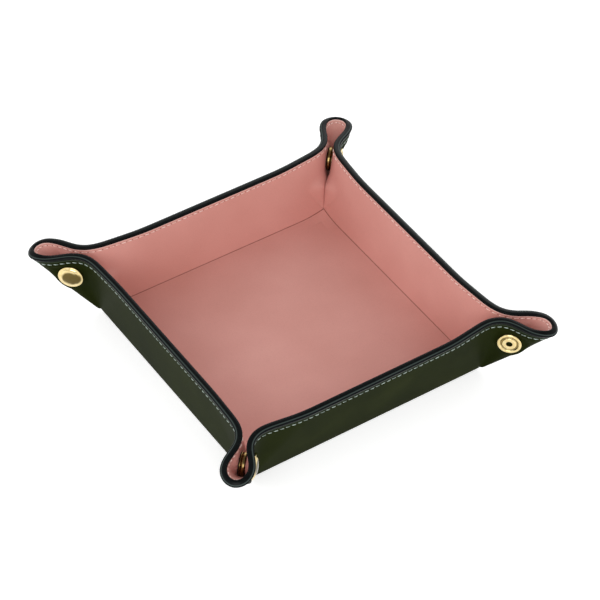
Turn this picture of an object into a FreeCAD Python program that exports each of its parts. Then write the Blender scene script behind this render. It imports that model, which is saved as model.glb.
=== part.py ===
import FreeCAD, Part
import math
import os

V = FreeCAD.Vector

# Travel valet tray: a square sheet of lined leather whose four corners are pinched
# and snapped, so that its sides stand up. Millimetres and degrees, +Z up, the origin
# at the middle of the underside. All the folds of a corner meet at its base corner.

# The flat sheet, with a rounded corner at the end of each ear
BASE_SIDE = 130.0
WALL_SLANT = 38.0
CORNER_RADIUS = 17.0

# Cover leather, stiffening board and lining leather
COVER_THICK = 1.4
BOARD_THICK = 0.6
LINING_THICK = 1.0
BOARD_MARGIN_AT_FOLD = 3.0
BOARD_MARGIN_AT_RIM = 7.0
BOARD_MARGIN_AT_END = 6.0

# How far each wall leans at rest, measured from the table
LEAN_BACK = 83.5
LEAN_RIGHT = 75.5
LEAN_FRONT = 81.5
LEAN_LEFT = 84.0

# The pinched corner. Its rulings fan out from the base corner, and each is known by
# its angle on the flat sheet: 0 runs straight up the wall, and the ridge lies at 45.
WALL_END_ANGLE = -45.0
TIP_START_ANGLE = 37.0
RIDGE_RISE = 42.7
WALL_BEND_AT = -33.0
WALL_BEND_SPREAD = 12.5
NECK_BEND_AT = 5.2
NECK_BEND_SPREAD = 23.2
TIP_BEND_SPREAD = 40.0
CORNER_START = 0.05
TIP_LINING_START = 0.22
BODY_GAP_ANGLE = 0.3
TIP_GAP_ANGLE = 0.5
FOLD_GAP = 0.1

# Where the snaps sit on the sheet: an angle and a distance from the base corner
SNAP_ANGLE = 22.5
SNAP_REACH = 27.0
SEAT_RADIUS = 6.4
SEAT_THICK = 2.7
SEAT_PLAY = 0.1
LEATHER_HOLE_RADIUS = 1.85

# Cap with a rolled edge and a hollow post that is clinched inside the socket
CAP_RADIUS = 6.25
CAP_DOME = 2.3
CAP_EDGE = 0.9
CAP_POST_RADIUS = 1.7
CAP_BORE_RADIUS = 1.25
CLINCH_RADIUS = 2.35
CLINCH_THICK = 0.35

# Socket: a flange against the lining, and a cup whose lip grips the stud
SOCKET_RADIUS = 6.1
SOCKET_FLANGE = 1.0
SOCKET_CUP_RADIUS = 4.5
SOCKET_CUP_SHOULDER = 0.4
SOCKET_DEPTH = 2.1
SOCKET_FLOOR = 0.4
SOCKET_LIP = 0.4
CAVITY_RADIUS = 2.75

# Stud and the eyelet that holds it from outside
STUD_RADIUS = 6.1
STUD_FLANGE = 1.2
STUD_NECK_RADIUS = 1.95
STUD_BALL_RADIUS = 2.15
STUD_BALL_HEIGHT = 0.6
STUD_SHELL = 0.25
EYELET_RADIUS = 5.85
EYELET_THICK = 0.9
EYELET_RING_RADIUS = 3.5
EYELET_GROOVE_WIDTH = 0.7
EYELET_GROOVE_DEPTH = 0.35
EYELET_TUBE_RADIUS = 1.6
EYELET_BORE_RADIUS = 1.3
METAL_PLAY = 0.05
SNAP_PLAY = 0.1

# How finely a bent sheet is worked out, and how closely its bends are solved
STEP_ANGLE = 0.5
PLEAT_SPACING = 5.0
TIP_SPACING = 3.0
SOLVER_NUDGE = 1e-5
SOLVER_CLOSE = 1e-9
SOLVER_ROUNDS = 12
FIRST_GUESS = (0.0, 70.0, 110.0)

HALF_BASE = BASE_SIDE / 2
STACK = COVER_THICK + BOARD_THICK + LINING_THICK
COVER_SHARE = COVER_THICK / STACK
BOARD_SHARE = (COVER_THICK + BOARD_THICK) / STACK
SEAT_INNER = (SOCKET_DEPTH + STUD_FLANGE + SNAP_PLAY) / 2
SEAT_MIDDLE = SEAT_INNER + SEAT_THICK * (1 - COVER_SHARE)
SEAT_OUTER = SEAT_INNER + SEAT_THICK

ORIGIN = V(0, 0, 0)
UP = V(0, 0, 1)
# Along the corner's diagonal, and square to it towards the half that is drawn
OUTWARD = V(1, 1, 0).normalize()
SIDEWAYS = V(-1, 1, 0).normalize()
RIDGE_ANGLE = math.degrees(math.atan2(OUTWARD.y, OUTWARD.x))

# The walls in clockwise order, seen from above
LEANS = {"back": LEAN_BACK, "right": LEAN_RIGHT, "front": LEAN_FRONT, "left": LEAN_LEFT}
WALLS = list(LEANS)


def radians(angle):
    return math.radians(angle)


def sheet_reach(angle):
    # from the base corner to the edge of the flat sheet, along one ruling
    turn = radians(angle)
    centre = WALL_SLANT - CORNER_RADIUS
    if math.tan(turn) <= centre / WALL_SLANT:
        return WALL_SLANT / math.cos(turn)
    along = centre * (math.sin(turn) + math.cos(turn))
    return along + math.sqrt(along ** 2 - 2 * centre ** 2 + CORNER_RADIUS ** 2)


def bump(angle, centre, spread):
    # a smooth hump of unit area
    place = (angle - centre) / spread
    if abs(place) >= 1:
        return 0.0
    return (1 + math.cos(math.pi * place)) / (2 * spread)


def bend_rate(angle, bends):
    # the turn per degree: at the wall's end, the neck, and back again round the ear
    wall, neck, ear = bends
    rate = wall * bump(angle, WALL_BEND_AT, WALL_BEND_SPREAD)
    rate += neck * bump(angle, NECK_BEND_AT, NECK_BEND_SPREAD)
    return rate - 2 * ear * bump(angle, RIDGE_ANGLE, TIP_BEND_SPREAD)


def walk_fan(lean, bends):
    # the bent sheet's rulings: direction, and the normal towards the tray's inside
    start = radians(WALL_END_ANGLE)
    slope = V(0, math.cos(radians(lean)), math.sin(radians(lean)))
    ruling = V(math.sin(start), 0, 0) + slope * math.cos(start)
    heading = V(math.cos(start), 0, 0) - slope * math.sin(start)
    fan = [(ruling, heading.cross(ruling))]
    count = round((RIDGE_ANGLE - WALL_END_ANGLE) / STEP_ANGLE)
    step = radians((RIDGE_ANGLE - WALL_END_ANGLE) / count)
    for i in range(count):
        middle = WALL_END_ANGLE + (i + 0.5) * math.degrees(step)
        moved = ruling * math.cos(step) + heading * math.sin(step)
        straight = heading * math.cos(step) - ruling * math.sin(step)
        turn = radians(bend_rate(middle, bends)) * math.degrees(step)
        ruling = moved
        heading = straight * math.cos(turn) + moved.cross(straight) * math.sin(turn)
        fan.append((ruling, heading.cross(ruling)))
    return fan


def miss(lean, bends):
    # the ridge lies in the diagonal plane at its own rise, and the sheet crosses it level
    ruling, normal = walk_fan(lean, bends)[-1]
    return [ruling.dot(SIDEWAYS), normal.dot(SIDEWAYS), ruling.z - math.sin(radians(RIDGE_RISE))]


def solve_bends(lean):
    # Newton's method on the three bends, in degrees
    bends = list(FIRST_GUESS)
    for _ in range(SOLVER_ROUNDS):
        off = miss(lean, bends)
        if max(abs(value) for value in off) < SOLVER_CLOSE:
            break
        slopes = []
        for i in range(len(bends)):
            nudged = list(bends)
            nudged[i] += SOLVER_NUDGE
            slopes.append(V(*[(new - old) / SOLVER_NUDGE for new, old in zip(miss(lean, nudged), off)]))
        wall, neck, ear = slopes
        target = V(*off)
        volume = wall.dot(neck.cross(ear))
        bends[0] -= target.dot(neck.cross(ear)) / volume
        bends[1] -= wall.dot(target.cross(ear)) / volume
        bends[2] -= wall.dot(neck.cross(target)) / volume
    return bends


class Corner:
    # one half of a pinched corner, from its wall to the ridge, with the base corner as
    # its origin, the wall's fold along X and the other half beyond the diagonal

    def __init__(self, lean, neighbour_lean):
        self.fan = walk_fan(lean, solve_bends(lean))
        self.inner_apex = V(-STACK * math.tan(radians(neighbour_lean / 2)),
                            -STACK * math.tan(radians(lean / 2)), STACK)

    def ruling(self, angle):
        last = len(self.fan) - 1
        place = (angle - WALL_END_ANGLE) / (RIDGE_ANGLE - WALL_END_ANGLE) * last
        low = min(max(int(place), 0), last - 1)
        share = place - low
        before, after = self.fan[low], self.fan[low + 1]
        return [(a * (1 - share) + b * share).normalize() for a, b in zip(before, after)]

    def point(self, angle, depth, reach):
        # depth 0 is the cover's face and 1 the lining's; reach 0 is the base corner, 1 the rim
        direction, normal = self.ruling(angle)
        outer = direction * sheet_reach(angle)
        inner = outer + normal * STACK
        inner_point = self.inner_apex + (inner - self.inner_apex) * reach
        return outer * reach * (1 - depth) + inner_point * depth

    def curve(self, start, end, spacing, depth, reach):
        count = max(3, math.ceil((end - start) / spacing))
        angles = [start + (end - start) * i / count for i in range(count + 1)]
        spline = Part.BSplineCurve()
        spline.interpolate([self.point(angle, depth, reach) for angle in angles])
        return spline.toShape()

    def layer(self, start, end, spacing, depths, lowest=CORNER_START):
        return slab([self.curve(start, end, spacing, depth, reach)
                     for depth in depths for reach in (lowest, 1)])

    def snap_spot(self):
        return self.point(SNAP_ANGLE, 1, SNAP_REACH / sheet_reach(SNAP_ANGLE))


def line(start, end):
    return Part.LineSegment(start, end).toShape()


def end_point(edge, last):
    return edge.valueAt(edge.LastParameter if last else edge.FirstParameter)


def slab(edges):
    # a closed solid between four edges that run the same way: low and high outside,
    # then low and high inside
    outer_low, outer_high, inner_low, inner_high = edges
    pairs = [(outer_low, outer_high), (inner_low, inner_high),
             (outer_low, inner_low), (outer_high, inner_high)]
    for last in (False, True):
        corners = [end_point(edge, last) for edge in edges]
        pairs.append((line(corners[0], corners[1]), line(corners[2], corners[3])))
    return closed_solid([Part.makeRuledSurface(*pair) for pair in pairs])


def closed_solid(faces):
    shell = Part.Compound(faces)
    shell.sewShape()
    solid = Part.Solid(shell.Shells[0])
    if solid.Volume < 0:
        solid.reverse()
    return solid


def prism(low, high):
    # a solid with flat faces between two rings of as many points
    faces = [Part.Face(Part.makePolygon(ring + ring[:1])) for ring in (low, high)]
    for i in range(len(low)):
        ring = [low[i - 1], low[i], high[i], high[i - 1]]
        faces.append(Part.Face(Part.makePolygon(ring + ring[:1])))
    return closed_solid(faces)


def wall_layer(corners, depths):
    # the flat middle of a wall, between the first rulings of its two corners
    edges = []
    for depth in depths:
        for reach in (0, 1):
            left, right = [corner.point(WALL_END_ANGLE, depth, reach) for corner in corners]
            left = V(-left.x - HALF_BASE, left.y + HALF_BASE, left.z)
            right = V(right.x + HALF_BASE, right.y + HALF_BASE, right.z)
            edges.append(line(left, right))
    return slab(edges)


def wall_board(lean):
    # the stiffener inside a wall, clear of the fold, of the rim's seam and of the corners
    along = V(0, math.cos(radians(lean)), math.sin(radians(lean)))
    inward = V(0, -along.z, along.y)
    fold = V(0, HALF_BASE, 0) + inward * COVER_THICK
    rings = []
    for depth in (0, BOARD_THICK):
        ring = []
        for side in (-1, 1):
            levels = [BOARD_MARGIN_AT_FOLD, WALL_SLANT - BOARD_MARGIN_AT_RIM]
            for level in (levels if side < 0 else levels[::-1]):
                half = HALF_BASE - BOARD_MARGIN_AT_END - level * math.tan(radians(-WALL_END_ANGLE))
                ring.append(fold + along * level + V(side * half, 0, 0) + inward * depth)
        rings.append(ring)
    return prism(*rings)


def base_block(depths, margin=0):
    # a slice of the base, whose sides lean in to meet the walls along mitred folds
    rings = []
    for depth in depths:
        height = depth * STACK
        back, right, front, left = [HALF_BASE - FOLD_GAP - margin - height * math.tan(radians(LEANS[wall] / 2))
                                    for wall in WALLS]
        rings.append([V(right, back, height), V(right, -front, height),
                      V(-left, -front, height), V(-left, back, height)])
    return prism(*rings)


def revolve(start, steps):
    # an outline of radii and heights turned about Z: a step of two numbers is a
    # straight run, and one of four an arc through its first point to its second
    first = V(start[0], 0, start[1])
    here = first
    edges = []
    for step in steps:
        there = V(step[-2], 0, step[-1])
        if len(step) == 4:
            edges.append(Part.Arc(here, V(step[0], 0, step[1]), there).toShape())
        else:
            edges.append(line(here, there))
        here = there
    edges.append(line(here, first))
    return Part.Face(Part.Wire(edges)).revolve(ORIGIN, UP, 360)


def disc(radius, low, high):
    return Part.makeCylinder(radius, high - low, V(0, 0, low))


def snap_cap():
    base = SEAT_OUTER
    top = base + CAP_DOME
    roll = CAP_EDGE / 2
    shoulder = CAP_RADIUS - roll
    sag = CAP_DOME - CAP_EDGE
    dome_radius = (shoulder ** 2 + sag ** 2) / (2 * sag)
    half_way = top - dome_radius + math.sqrt(dome_radius ** 2 - (shoulder / 2) ** 2)
    clinch_top = SEAT_INNER - SOCKET_FLOOR - METAL_PLAY
    clinch_end = clinch_top - CLINCH_THICK
    return revolve((0, top), [
        (shoulder / 2, half_way, shoulder, base + CAP_EDGE),
        (CAP_RADIUS, base + roll, shoulder, base),
        (CAP_POST_RADIUS, base),
        (CAP_POST_RADIUS, clinch_top),
        (CLINCH_RADIUS, clinch_top),
        (CLINCH_RADIUS, clinch_end),
        (CAP_BORE_RADIUS, clinch_end),
        (CAP_BORE_RADIUS, base),
        (0, base),
    ])


def snap_socket():
    top = SEAT_INNER
    face = top - SOCKET_DEPTH
    flange = top - SOCKET_FLANGE
    rim = SOCKET_FLANGE / 2
    mouth = STUD_BALL_RADIUS + METAL_PLAY
    hole = CAP_POST_RADIUS + METAL_PLAY
    shoulder = SOCKET_CUP_SHOULDER
    turn = shoulder * (1 - math.sqrt(0.5))
    return revolve((hole, top), [
        (SOCKET_RADIUS - rim, top),
        (SOCKET_RADIUS, top - rim, SOCKET_RADIUS - rim, flange),
        (SOCKET_CUP_RADIUS, flange),
        (SOCKET_CUP_RADIUS, face + shoulder),
        (SOCKET_CUP_RADIUS - turn, face + turn, SOCKET_CUP_RADIUS - shoulder, face),
        (mouth + SOCKET_LIP / 2, face),
        (mouth, face + SOCKET_LIP / 2),
        (mouth, face + SOCKET_LIP),
        (CAVITY_RADIUS, face + SOCKET_LIP),
        (CAVITY_RADIUS, top - SOCKET_FLOOR),
        (hole, top - SOCKET_FLOOR),
    ])


def stud_tip():
    # the stud's nose stops just short of the clinched post inside the socket
    reach = SOCKET_DEPTH - SOCKET_FLOOR - METAL_PLAY - CLINCH_THICK
    return SEAT_INNER - STUD_FLANGE - reach


def snap_stud():
    top = SEAT_INNER
    face = top - STUD_FLANGE
    tip = stud_tip()
    rim = STUD_FLANGE / 2
    ball = tip + STUD_BALL_HEIGHT
    neck = (face + ball) / 2
    nose = STUD_BALL_HEIGHT / 2
    turn = nose * (1 - math.sqrt(0.5))
    hole = EYELET_TUBE_RADIUS + METAL_PLAY
    return revolve((hole, top), [
        (STUD_RADIUS - rim, top),
        (STUD_RADIUS, top - rim, STUD_RADIUS - rim, face),
        (STUD_NECK_RADIUS, face),
        (STUD_NECK_RADIUS, neck),
        (STUD_BALL_RADIUS, ball),
        (STUD_BALL_RADIUS, tip + nose),
        (STUD_BALL_RADIUS - turn, tip + turn, STUD_BALL_RADIUS - nose, tip),
        (0, tip),
        (0, tip + STUD_SHELL),
        (hole, tip + STUD_SHELL),
    ])


def snap_eyelet():
    base = SEAT_OUTER
    top = base + EYELET_THICK
    rim = EYELET_THICK / 2
    groove = EYELET_RING_RADIUS + EYELET_GROOVE_WIDTH / 2
    floor = top - EYELET_GROOVE_DEPTH
    end = stud_tip() + STUD_SHELL + METAL_PLAY
    flare = EYELET_TUBE_RADIUS - EYELET_BORE_RADIUS
    return revolve((EYELET_TUBE_RADIUS, base), [
        (EYELET_RADIUS - rim, base),
        (EYELET_RADIUS, base + rim, EYELET_RADIUS - rim, top),
        (groove + EYELET_GROOVE_WIDTH / 2, top),
        (groove, floor, groove - EYELET_GROOVE_WIDTH / 2, top),
        (EYELET_BORE_RADIUS + 2 * flare, top),
        (EYELET_BORE_RADIUS, top - flare),
        (EYELET_BORE_RADIUS, end),
        (EYELET_TUBE_RADIUS, end),
    ])


def snap_placement(corners):
    # the axis crosses the diagonal plane midway between the two halves' own spots
    spots = [corner.snap_spot() for corner in corners]
    middle = (spots[0] + spots[1]) / 2
    centre = OUTWARD * middle.dot(OUTWARD) + V(0, 0, middle.z)
    return FreeCAD.Placement(centre, FreeCAD.Rotation(UP, SIDEWAYS))


def moved(shape, placement):
    copy = shape.copy()
    copy.Placement = placement.multiply(copy.Placement)
    return copy


def clear_seat(layer, play, placement):
    # the round that the snap's seat takes up
    return layer.cut(moved(disc(SEAT_RADIUS + play, 0, SEAT_OUTER * 2), placement))


def press_seat(layer, low, high, placement):
    # the snap presses a round of the leather flat, and its post goes through a hole
    seat = moved(disc(SEAT_RADIUS, low, high), placement)
    hole = moved(disc(LEATHER_HOLE_RADIUS, 0, SEAT_OUTER * 2), placement)
    return clear_seat(layer, 0, placement).fuse(seat).cut(hole).removeSplitter()


def round_corner(shape, wall, mirrored):
    # from the corner's own origin to its wall's clockwise end, or mirrored to the other
    placed = shape.translated(V(HALF_BASE, HALF_BASE, 0))
    if mirrored:
        placed = placed.mirror(ORIGIN, V(1, 0, 0))
    return round_tray(placed, wall)


def round_tray(shape, wall):
    return shape.rotated(ORIGIN, UP, -90 * WALLS.index(wall))


def neighbour(wall, step):
    return WALLS[(WALLS.index(wall) + step) % len(WALLS)]


def build():
    parts = {}
    board = base_block((COVER_SHARE, BOARD_SHARE), BOARD_MARGIN_AT_FOLD)
    parts["base_cover"] = base_block((0, COVER_SHARE))
    parts["base_board"] = board
    parts["base_lining"] = base_block((COVER_SHARE, 1)).cut(board)

    # each wall has its cap on the clockwise end and its stud on the other
    ends = {"cap": 1, "stud": -1}
    corners = {(wall, end): Corner(LEANS[wall], LEANS[neighbour(wall, step)])
               for wall in WALLS for end, step in ends.items()}
    layers = {"cover": (0, COVER_SHARE), "lining": (COVER_SHARE, 1)}
    seats = {"cover": (SEAT_MIDDLE, SEAT_OUTER), "lining": (SEAT_INNER, SEAT_MIDDLE)}
    metal = {"cap": {"snap_cap": snap_cap(), "snap_socket": snap_socket()},
             "stud": {"snap_stud": Part.Compound([snap_stud(), snap_eyelet()])}}

    for wall in WALLS:
        board = wall_board(LEANS[wall])
        pair = [corners[wall, "stud"], corners[wall, "cap"]]
        parts[wall + "_wall_cover"] = round_tray(wall_layer(pair, layers["cover"]), wall)
        parts[wall + "_wall_board"] = round_tray(board, wall)
        parts[wall + "_wall_lining"] = round_tray(wall_layer(pair, layers["lining"]).cut(board), wall)

        for end, step in ends.items():
            corner = corners[wall, end]
            other = corners[neighbour(wall, step), "stud" if end == "cap" else "cap"]
            placement = snap_placement([corner, other])
            mirrored = end == "stud"
            for name, depths in layers.items():
                pleat = corner.layer(WALL_END_ANGLE + BODY_GAP_ANGLE, TIP_START_ANGLE - TIP_GAP_ANGLE / 2,
                                     PLEAT_SPACING, depths)
                pleat = press_seat(pleat, *seats[name], placement)
                # the lining has no room to turn about the ridge close to the base corner
                lowest = CORNER_START if name == "cover" else TIP_LINING_START
                tip = corner.layer(TIP_START_ANGLE + TIP_GAP_ANGLE / 2, RIDGE_ANGLE - BODY_GAP_ANGLE / 2,
                                   TIP_SPACING, depths, lowest)
                tip = clear_seat(tip, SEAT_PLAY, placement)
                stem = wall + "_" + end
                parts[stem + "_pleat_" + name] = round_corner(pleat, wall, mirrored)
                parts[stem + "_tip_" + name] = round_corner(tip, wall, mirrored)
            for name, shape in metal[end].items():
                parts[wall + "_" + name] = round_corner(moved(shape, placement), wall, mirrored)
    return parts


def main():
    os.makedirs("parts", exist_ok=True)
    for name, shape in build().items():
        solids = shape.Solids
        shape = solids[0] if len(solids) == 1 else Part.Compound(solids)
        shape.exportStep("parts/" + name + ".step")
        print(name, len(solids), "solids", round(shape.Volume, 1), "mm3", "valid" if shape.isValid() else "INVALID")


main()
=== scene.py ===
import math

import bpy
import numpy as np
from mathutils import Matrix, Vector


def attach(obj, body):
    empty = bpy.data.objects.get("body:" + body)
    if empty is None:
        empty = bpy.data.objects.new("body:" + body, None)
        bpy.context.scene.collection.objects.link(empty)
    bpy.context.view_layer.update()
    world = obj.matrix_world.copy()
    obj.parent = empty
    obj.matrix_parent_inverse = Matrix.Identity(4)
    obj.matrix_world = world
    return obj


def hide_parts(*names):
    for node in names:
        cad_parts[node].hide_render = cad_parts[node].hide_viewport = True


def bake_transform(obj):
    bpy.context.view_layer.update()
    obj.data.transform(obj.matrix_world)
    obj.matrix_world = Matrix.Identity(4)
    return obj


# A travel valet tray: one square of lined leather, pinched and snapped at its four corners.
# The leather is drawn flat in millimetres, as it would be cut, and then bent into place.

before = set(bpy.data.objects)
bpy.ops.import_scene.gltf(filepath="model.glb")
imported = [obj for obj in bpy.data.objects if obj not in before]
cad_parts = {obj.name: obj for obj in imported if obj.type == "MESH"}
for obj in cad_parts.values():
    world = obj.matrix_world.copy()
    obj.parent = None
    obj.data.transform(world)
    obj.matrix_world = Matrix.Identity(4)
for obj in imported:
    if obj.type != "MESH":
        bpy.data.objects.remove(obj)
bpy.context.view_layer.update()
bpy.ops.object.select_all(action="DESELECT")
print("frame loaded", len(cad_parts), "nodes")

mm = 0.001

# the sheet as cut, and how it stands: each wall's lean from the table and the ears' rise
sheet = {
    "baseSide": 130.0, "wallSlant": 38.0, "cornerRadius": 17.0, "stack": 3.0,
    "leans": {"back": 83.5, "right": 75.5, "front": 81.5, "left": 84.0},
    "ridgeRise": 42.7,
}
# angles of the rulings that fan out from a base corner: 0 is straight up the wall, 45 the ridge
fanBend = {
    "wallEnd": -45.0, "wallAt": -33.0, "wallSpread": 12.5, "neckAt": 5.2, "neckSpread": 23.2,
    "earSpread": 40.0, "step": 0.5, "firstTry": (0.0, 70.0, 110.0), "tries": 8, "nudge": 1e-5,
}
# a snap's place on the flat sheet, and the seat that it presses into both layers
snap = {
    "angle": 22.5, "reach": 27.0, "seatRadius": 6.4, "seatInner": 1.7, "seatOuter": 4.4,
    "seatFade": 2.6,
}
walls = list(sheet["leans"])
ends = {"cap": 1, "stud": -1}
ridge = 45.0
halfBase = sheet["baseSide"] / 2
arcCentre = sheet["wallSlant"] - sheet["cornerRadius"]
arcStart = halfBase + arcCentre
rimLength = arcStart + sheet["cornerRadius"] * math.pi / 4
alongX = np.array([1.0, 0, 0])
upward = np.array([0, 0, 1.0])
outward = np.array([1.0, 1.0, 0.0]) / math.sqrt(2)
sideways = np.array([-1.0, 1.0, 0.0]) / math.sqrt(2)


def smooth(value):
    value = np.clip(value, 0, 1)
    return value * value * (3 - 2 * value)


def bell(distance, width):
    return np.exp(-(distance / width) ** 2)


def mix(a, b, share):
    return a * (1 - share) + b * share


def unit(vectors):
    return vectors / np.maximum(np.linalg.norm(vectors, axis=-1, keepdims=True), 1e-12)


def matched(*values):
    return np.broadcast_arrays(*[np.asarray(v, float) for v in values])


def rulingAngle(x, y):
    # the ruling that a flat point lies on
    return np.degrees(np.arctan2(x, np.maximum(y, 1e-9)))


# the bent corner

def hump(angle, centre, spread):
    # a smooth hump of unit area
    place = (angle - centre) / spread
    return 0.0 if abs(place) >= 1 else (1 + math.cos(math.pi * place)) / (2 * spread)


def walkFan(lean, bends):
    # rulings and inward normals of the bent sheet, from the wall's flat middle to the ridge
    wall, neck, ear = bends
    start = math.radians(fanBend["wallEnd"])
    slope = np.array([0, math.cos(math.radians(lean)), math.sin(math.radians(lean))])
    ruling = alongX * math.sin(start) + slope * math.cos(start)
    heading = alongX * math.cos(start) - slope * math.sin(start)
    fan = [(ruling, np.cross(heading, ruling))]
    step = fanBend["step"]
    turnStep = math.radians(step)
    for i in range(round((ridge - fanBend["wallEnd"]) / step)):
        middle = fanBend["wallEnd"] + (i + 0.5) * step
        rate = wall * hump(middle, fanBend["wallAt"], fanBend["wallSpread"])
        rate += neck * hump(middle, fanBend["neckAt"], fanBend["neckSpread"])
        rate -= 2 * ear * hump(middle, ridge, fanBend["earSpread"])
        moved = ruling * math.cos(turnStep) + heading * math.sin(turnStep)
        straight = heading * math.cos(turnStep) - ruling * math.sin(turnStep)
        turn = math.radians(rate) * step
        ruling = moved
        heading = straight * math.cos(turn) + np.cross(moved, straight) * math.sin(turn)
        fan.append((ruling, np.cross(heading, ruling)))
    return fan


def solveFan(lean):
    # the three bends that bring the ridge to the diagonal, at its rise and level across
    def miss(bends):
        ruling, normal = walkFan(lean, bends)[-1]
        rise = math.sin(math.radians(sheet["ridgeRise"]))
        return np.array([ruling @ sideways, normal @ sideways, ruling[2] - rise])

    bends = np.array(fanBend["firstTry"])
    nudge = fanBend["nudge"]
    for _ in range(fanBend["tries"]):
        off = miss(bends)
        slopes = np.array([(miss(bends + nudge * row) - off) / nudge for row in np.eye(3)]).T
        bends = bends - np.linalg.solve(slopes, off)
    return walkFan(lean, bends)


def makeCorner(lean, neighbourLean):
    # apex is the corner of the inner face; the turns lead from the base into each wall
    fan = solveFan(lean)
    lean, neighbour = math.radians(lean), math.radians(neighbourLean)
    slope = np.array([0, math.cos(lean), math.sin(lean)])
    apex = np.array([-math.tan(neighbour / 2), -math.tan(lean / 2), 1]) * sheet["stack"]
    return {
        "slope": slope,
        "inward": np.array([0, -math.sin(lean), math.cos(lean)]),
        "apex": apex,
        "ownTurn": slope - np.array([0, 1.0, 0]),
        "otherTurn": np.array([math.cos(neighbour) - 1, 0, math.sin(neighbour)]),
        "angles": np.linspace(fanBend["wallEnd"], ridge, len(fan)),
        "rulings": np.array([pair[0] for pair in fan]),
        "normals": np.array([pair[1] for pair in fan]),
    }


def alongFan(corner, angle, what):
    rows = [np.interp(angle, corner["angles"], corner[what][:, i]) for i in range(3)]
    return unit(np.stack(rows, -1))


def sheetReach(angle):
    # from the base corner to the edge of the flat sheet
    turn = np.radians(angle)
    straight = sheet["wallSlant"] / np.cos(turn)
    along = arcCentre * (np.sin(turn) + np.cos(turn))
    inside = along ** 2 - 2 * arcCentre ** 2 + sheet["cornerRadius"] ** 2
    bow = along + np.sqrt(np.maximum(inside, 0))
    return np.where(np.tan(turn) <= arcCentre / sheet["wallSlant"], straight, bow)


# where the wall meets the base: the seam under the base, the rounds of the two faces, the lift of
# the lining towards the corners, the groove that the bone folder leaves and the painted shade along
# it
fold = {
    "toSeam": 8.0, "roundOutside": 2.4, "roundInside": 0.8, "roundDeep": 0.25, "lift": 3.6,
    "liftReach": 17.0, "liftFrom": -40.0, "liftOver": 30.0, "creaseDeep": 0.12,
    "creaseWide": 0.35, "foldShadeWide": 0.3,
}
pinch = {"closedTo": 17.5, "fade": 5.0, "from": -30.0, "over": 22.0, "least": 0.02}
earRise = {"height": 1.0, "from": 22.0, "over": 18.0, "turn": 0.45}


def wallPlace(corner, x, up, share):
    # the flat middle of the wall, whose inner face is the narrower
    slant = sheet["wallSlant"]
    k = np.clip(up / slant, 0, 1)
    column = (x + halfBase) / (halfBase - slant * k)
    outer = alongX * x[..., None] + corner["slope"] * up[..., None]
    rim = alongX * (-halfBase + (halfBase - slant) * column)[..., None]
    rim = rim + corner["slope"] * slant + corner["inward"] * sheet["stack"]
    foot = alongX * (-halfBase + column * (halfBase + corner["apex"][0]))[..., None]
    foot = foot + corner["apex"] * (0, 1, 1)
    return mix(outer, mix(foot, rim, k[..., None]), share)


def fanPlace(corner, x, up, share):
    # the fan of rulings
    angle = np.maximum(rulingAngle(x, up), fanBend["wallEnd"])
    ruling = alongFan(corner, angle, "rulings")
    normal = alongFan(corner, angle, "normals")
    reach = np.hypot(x, up)[..., None]
    far = sheetReach(np.minimum(angle, ridge))[..., None]
    rim = ruling * far + normal * sheet["stack"]
    apex = corner["apex"]
    return mix(ruling * reach, apex + (rim - apex) * (reach / far), share)


def basePlace(corner, x, y, share):
    # in under the base, to the seam
    q = np.clip(-y / fold["toSeam"], 0, 1)[..., None]
    column = (x + halfBase) / halfBase
    outer = alongX * x[..., None]
    inner = alongX * (-halfBase + column * (halfBase + corner["apex"][0]))[..., None]
    inner = inner + corner["apex"] * (0, 1, 1)
    seamX = column * (halfBase - fold["toSeam"]) - halfBase
    atSeam = alongX * seamX[..., None] + np.array([0, -fold["toSeam"], 0])
    return mix(mix(outer, atSeam, q), mix(inner, atSeam + upward * sheet["stack"], q), share)


def bentPoint(corner, x, y, depth):
    # a point of the flat sheet in its bent place, with the base corner as origin: x runs along
    # the fold, y up the wall or below 0 in under the base, depth from the outside inwards
    x, y, depth = matched(x, y, depth)
    share = depth / sheet["stack"]
    up = np.maximum(y, 0)
    low = basePlace(corner, x, y, share[..., None])
    flat = wallPlace(corner, x, up, share[..., None])
    fan = fanPlace(corner, x, up, share[..., None])
    angle = rulingAngle(x, y)
    isFan = angle >= fanBend["wallEnd"]
    place = np.where((y < 0)[..., None], low, np.where(isFan[..., None], fan, flat))

    # the fold is a round, not a knife edge
    size = mix(fold["roundOutside"], fold["roundInside"], share)
    reach = np.hypot(x, up)
    grow = mix(math.cos(math.radians(ridge)), 1, smooth((angle + ridge) / ridge))
    own = np.where(y < 0, -y, np.where(isFan, reach * grow, up))
    other = np.where(y < 0, share * corner["apex"][0] - low[..., 0], reach)
    for turn, distance in ((corner["ownTurn"], own), (corner["otherTurn"], other)):
        fade = np.clip(1 - distance / size, 0, 1) ** 2
        place = place + turn * (fold["roundDeep"] * size * fade)[..., None]
    return place


def pressSeat(place, x, y, depth):
    # the snap presses a round of the leather flat
    away = np.hypot(x - snapSpot[0], y - snapSpot[1])
    target = mix(snap["seatOuter"], snap["seatInner"], depth / sheet["stack"])
    weight = 1 - smooth((away - snap["seatRadius"]) / snap["seatFade"])
    return place + sideways * ((target - place @ sideways) * weight)[..., None]


def closePinch(place, cover, x, y, depth):
    # below the snap the two linings of a corner lie against each other, inside their covers
    share = 1 - smooth((np.hypot(x, y) - pinch["closedTo"]) / pinch["fade"])
    share = share * smooth((rulingAngle(x, y) - pinch["from"]) / pinch["over"]) * (y > 0)
    limit = np.maximum(cover @ sideways, pinch["least"]) * (1 - depth / sheet["stack"])
    return place - sideways * (np.maximum(place @ sideways - limit, 0) * share)[..., None]


def raiseEar(place, x, y):
    # the ears' tips are pulled up a little
    share = smooth((np.hypot(x, y) - earRise["from"]) / earRise["over"])
    share = share * smooth(np.arctan2(x, np.maximum(y, 1)) / earRise["turn"])
    return place + upward * earRise["height"] * share[..., None]


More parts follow.
